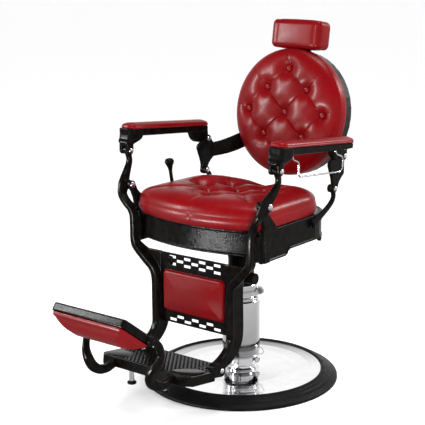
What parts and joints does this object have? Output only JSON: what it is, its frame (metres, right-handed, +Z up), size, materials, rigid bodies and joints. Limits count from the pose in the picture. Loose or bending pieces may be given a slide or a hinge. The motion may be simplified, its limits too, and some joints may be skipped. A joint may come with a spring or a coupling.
{
  "type": "hydraulic barber chair",
  "caption": "Round-backed barber chair on a hydraulic pump base, with linked reclining back, armrests and leg frame, a headrest and a footrest.",
  "frame": {"origin": "on the floor, under the middle of the round base", "axes": "+Z up, -Y the way the sitter faces, +X the sitter's left"},
  "size_m": [0.664, 1.1508, 1.1918],
  "materials": {
    "leather": "glossy oxblood red leatherette over foam",
    "iron": "black hammered gloss enamel",
    "chrome": "polished chrome",
    "rubber": "semi-gloss black",
    "steel": "plain",
    "board": "moulded plywood painted gloss black"
  },
  "bodies": {
    "base": {"base_weight": "steel", "base_disc": "chrome", "base_rim": "rubber", "pump_cylinder": "chrome", "gland_ring": "steel", "pedal_pin": "steel"},
    "pump_pedal": {"pump_pedal": "chrome", "pedal_pad": "rubber"},
    "lift": {"lift_sleeve": "chrome", "piston_rod": "chrome", "lift_collar": "chrome", "collar_bolt": "steel"},
    "seat": {"swivel_socket": "iron", "underframe": "iron", "front_band": "iron", "left_side_rail": "iron", "right_side_rail": "iron", "rear_band": "iron", "seat_pan": "board", "seat_cushion": "leather", "left_leg_ear": "iron", "right_leg_ear": "iron", "left_leg_bolt": "chrome", "right_leg_bolt": "chrome", "left_rear_post": "iron", "right_rear_post": "iron", "left_back_bolt": "chrome", "right_back_bolt": "chrome"},
    "recline_lever": {"recline_lever": "iron"},
    "back": {"back_cushion": "leather", "back_shell": "board", "left_back_bracket": "iron", "right_back_bracket": "iron", "left_arm_bolt": "chrome", "right_arm_bolt": "chrome"},
    "headrest": {"headrest_post": "chrome", "headrest_plate": "iron", "headrest_cushion": "leather"},
    "left_arm": {"left_arm_casting": "iron", "left_arm_pad": "leather", "towel_rail": "chrome"},
    "right_arm": {"right_arm_casting": "iron", "right_arm_pad": "leather"},
    "leg_frame": {"left_leg_lever": "iron", "right_leg_lever": "iron", "left_arm_pin": "chrome", "right_arm_pin": "chrome", "left_foot_bolt": "chrome", "right_foot_bolt": "chrome", "apron_frame": "iron", "apron_pad": "leather", "footplate": "iron", "left_foot_rod": "chrome", "right_foot_rod": "chrome", "left_foot_tip": "rubber", "right_foot_tip": "rubber", "left_gooseneck": "iron", "right_gooseneck": "iron"},
    "flip_pad": {"flip_tray": "iron", "flip_cushion": "leather"}
  },
  "joints": [
    {"name": "pedal_pump", "type": "hinge", "parent": "base", "child": "pump_pedal", "pos_m": [0, 0, 0.054], "axis": [-0.8, -0.6, 0], "range_deg": [0, 8], "stiffness_Nm_per_rad": 12, "springref_deg": -11.46},
    {"name": "lift_slide", "type": "slide", "parent": "base", "child": "lift", "axis": [0, 0, 1], "range_m": [0, 0.16]},
    {"name": "seat_swivel", "type": "hinge", "parent": "lift", "child": "seat", "pos_m": [0, 0, 0.33], "axis": [0, 0, 1], "continuous": true},
    {"name": "recline_release", "type": "hinge", "parent": "seat", "child": "recline_lever", "pos_m": [-0.2615, -0.04, 0.54], "axis": [-1, 0, 0], "range_deg": [0, 18], "stiffness_Nm_per_rad": 2, "springref_deg": -11.46},
    {"name": "back_recline", "type": "hinge", "parent": "seat", "child": "back", "pos_m": [0, 0.141, 0.664], "axis": [-1, 0, 0], "range_deg": [0, 45]},
    {"name": "leg_swing", "type": "hinge", "parent": "seat", "child": "leg_frame", "pos_m": [0, -0.252, 0.676], "axis": [-1, 0, 0], "range_deg": [0, 45]},
    {"name": "left_arm_pivot", "type": "hinge", "parent": "back", "child": "left_arm", "pos_m": [0.302, 0.165, 0.772], "axis": [-1, 0, 0], "range_deg": [-45, 0]},
    {"name": "right_arm_pivot", "type": "hinge", "parent": "back", "child": "right_arm", "pos_m": [-0.302, 0.165, 0.772], "axis": [-1, 0, 0], "range_deg": [-45, 0]},
    {"name": "headrest_slide", "type": "slide", "parent": "back", "child": "headrest", "axis": [0, 0.1564, 0.9877], "range_m": [0, 0.08]},
    {"name": "flip_pad_pivot", "type": "hinge", "parent": "leg_frame", "child": "flip_pad", "pos_m": [0, -0.633, 0.329], "axis": [-1, 0, 0], "range_deg": [0, 150]}
  ],
  "couplings": [
    {"joint": "leg_swing", "follows": "back_recline", "ratio": 1},
    {"joint": "left_arm_pivot", "follows": "back_recline", "ratio": -1},
    {"joint": "right_arm_pivot", "follows": "back_recline", "ratio": -1}
  ]
}
